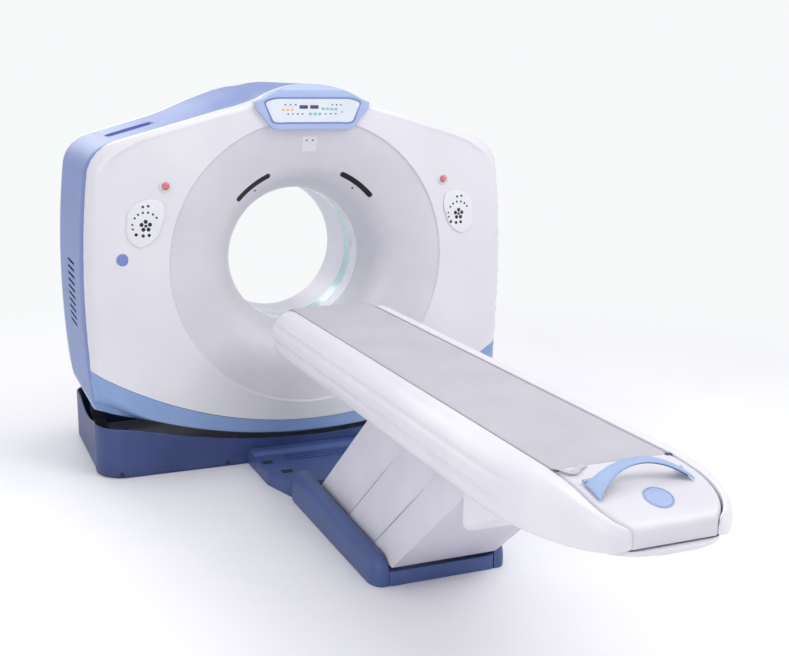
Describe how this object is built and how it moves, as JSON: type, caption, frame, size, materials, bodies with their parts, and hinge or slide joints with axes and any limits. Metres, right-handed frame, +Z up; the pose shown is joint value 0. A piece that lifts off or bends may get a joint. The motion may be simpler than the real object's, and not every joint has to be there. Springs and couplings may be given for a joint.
{
  "type": "ct scanner",
  "caption": "Tilting ring gantry with a round patient tunnel, and a table with a sliding cradle on a parallel-link lift.",
  "frame": {"origin": "on the floor, at the centre of the gantry's anchor pattern, straight under the middle of the tunnel", "axes": "+Y along the tunnel from the table towards the back of the gantry, +Z up, +X to the right seen from the table"},
  "size_m": [2.2268, 3.97, 1.886],
  "materials": {
    "white_cover": "satin moulded",
    "table_white": "satin moulded",
    "side_blue": "painted, satin",
    "band_blue": "painted, satin",
    "console_blue": "painted, satin",
    "display": "printed membrane",
    "navy": "moulded",
    "steel": "powder coated",
    "bright_steel": "ground",
    "cast_frame": "painted casting",
    "alloy": "extruded",
    "iron": "painted",
    "belt": "moulded",
    "slip_ring": "moulded",
    "laser_black": "smoked",
    "keypad": "membrane",
    "window": "clear film",
    "stop_red": "moulded",
    "slide": "low friction",
    "carbon": "lacquered",
    "pad": "coated cloth",
    "handle_blue": "moulded",
    "pedal": "moulded"
  },
  "bodies": {
    "root": {"floor_plate": "steel", "left_stand": "steel", "right_stand": "steel", "pivot_pins": "bright_steel", "base_skirt": "navy", "floor_bridge": "navy", "table_base": "steel", "floor_pivot_pins": "bright_steel", "foot_plinth": "navy", "left_pod": "navy", "right_pod": "navy"},
    "gantry": {"front_cover": "white_cover", "lower_band": "band_blue", "rear_cover": "white_cover", "right_side_cover": "side_blue", "left_side_cover": "side_blue", "top_cover": "side_blue", "bottom_cover": "band_blue", "console_housing": "console_blue", "console_display": "display", "laser_windows": "laser_black", "keypads": "keypad", "stop_collars": "keypad", "intercom_plate": "white_cover", "front_bore_liner": "white_cover", "scan_window": "window", "rear_bore_liner": "white_cover", "tilt_frame": "cast_frame", "bearing_outer_race": "bright_steel", "drive_belt": "belt", "drive_motor": "cast_frame"},
    "rotor": {"rotor_drum": "cast_frame", "slip_ring": "slip_ring", "xray_tube": "bright_steel", "collimator": "steel", "detector_array": "steel", "power_supply": "steel", "heat_exchanger": "alloy", "balance_weights": "iron"},
    "pulley": {"drive_pulley": "alloy"},
    "left_stop": {"left_stop_button": "stop_red"},
    "right_stop": {"right_stop_button": "stop_red"},
    "front_leg": {"front_leg": "steel"},
    "rear_leg": {"rear_leg": "steel"},
    "front_panels": {"front_leg_panels": "table_white"},
    "middle_panels": {"middle_leg_panels": "table_white"},
    "rear_panel": {"rear_leg_panel": "table_white"},
    "carriage": {"carriage_frame": "alloy", "carriage_pivot_pins": "bright_steel", "left_table_cover": "table_white", "right_table_cover": "table_white", "foot_housing": "table_white", "slide_strips": "slide"},
    "cradle": {"cradle_shell": "carbon", "cradle_pad": "pad", "tail_block": "table_white", "cradle_truck": "alloy"},
    "handle": {"release_handle": "handle_blue"},
    "raise_pedal": {"raise_pedal": "pedal"},
    "lower_pedal": {"lower_pedal": "pedal"}
  },
  "joints": [
    {"name": "gantry_tilt", "type": "hinge", "parent": "root", "child": "gantry", "pos_m": [0, 0, 1.015], "axis": [1, 0, 0], "range_deg": [-30, 30]},
    {"name": "rotor_spin", "type": "hinge", "parent": "gantry", "child": "rotor", "pos_m": [0, 0.113, 1.015], "axis": [0, 1, 0], "continuous": true},
    {"name": "pulley_spin", "type": "hinge", "parent": "gantry", "child": "pulley", "pos_m": [0.5374, 0.113, 0.4776], "axis": [0, 1, 0], "continuous": true},
    {"name": "left_stop_press", "type": "slide", "parent": "gantry", "child": "left_stop", "axis": [0, 1, 0], "range_m": [0, 0.005], "stiffness_N_per_m": 900},
    {"name": "right_stop_press", "type": "slide", "parent": "gantry", "child": "right_stop", "axis": [0, 1, 0], "range_m": [0, 0.005], "stiffness_N_per_m": 900},
    {"name": "table_lift", "type": "hinge", "parent": "root", "child": "front_leg", "pos_m": [0, -1.4, 0.17], "axis": [-1, 0, 0], "range_deg": [-28, 16]},
    {"name": "rear_leg_swing", "type": "hinge", "parent": "root", "child": "rear_leg", "pos_m": [0, -1.88, 0.17], "axis": [-1, 0, 0], "range_deg": [-28, 16]},
    {"name": "front_panel_swing", "type": "hinge", "parent": "root", "child": "front_panels", "pos_m": [0, -1.465, 0.105], "axis": [-1, 0, 0], "range_deg": [-28, 16]},
    {"name": "middle_panel_swing", "type": "hinge", "parent": "root", "child": "middle_panels", "pos_m": [0, -1.824, 0.105], "axis": [-1, 0, 0], "range_deg": [-28, 16]},
    {"name": "rear_panel_swing", "type": "hinge", "parent": "root", "child": "rear_panel", "pos_m": [0, -1.975, 0.105], "axis": [-1, 0, 0], "range_deg": [-28, 16]},
    {"name": "carriage_level", "type": "hinge", "parent": "front_leg", "child": "carriage", "pos_m": [0, -1.97453, 0.65209], "axis": [-1, 0, 0], "range_deg": [-16, 28]},
    {"name": "cradle_slide", "type": "slide", "parent": "carriage", "child": "cradle", "axis": [0, 1, 0], "range_m": [0, 1.7]},
    {"name": "handle_lift", "type": "hinge", "parent": "cradle", "child": "handle", "pos_m": [0, -3.25, 0.8518], "axis": [-1, 0, 0], "range_deg": [0, 25], "stiffness_Nm_per_rad": 3},
    {"name": "raise_pedal_press", "type": "hinge", "parent": "root", "child": "raise_pedal", "pos_m": [-0.3, -0.612, 0.057], "axis": [1, 0, 0], "range_deg": [0, 8], "stiffness_Nm_per_rad": 1.5},
    {"name": "lower_pedal_press", "type": "hinge", "parent": "root", "child": "lower_pedal", "pos_m": [-0.248, -0.768, 0.057], "axis": [1, 0, 0], "range_deg": [0, 8], "stiffness_Nm_per_rad": 1.5}
  ],
  "couplings": [
    {"joint": "pulley_spin", "follows": "rotor_spin", "ratio": 13.5},
    {"joint": "rear_leg_swing", "follows": "table_lift", "ratio": 1},
    {"joint": "front_panel_swing", "follows": "table_lift", "ratio": 1},
    {"joint": "middle_panel_swing", "follows": "table_lift", "ratio": 1},
    {"joint": "rear_panel_swing", "follows": "table_lift", "ratio": 1},
    {"joint": "carriage_level", "follows": "table_lift", "ratio": -1}
  ]
}
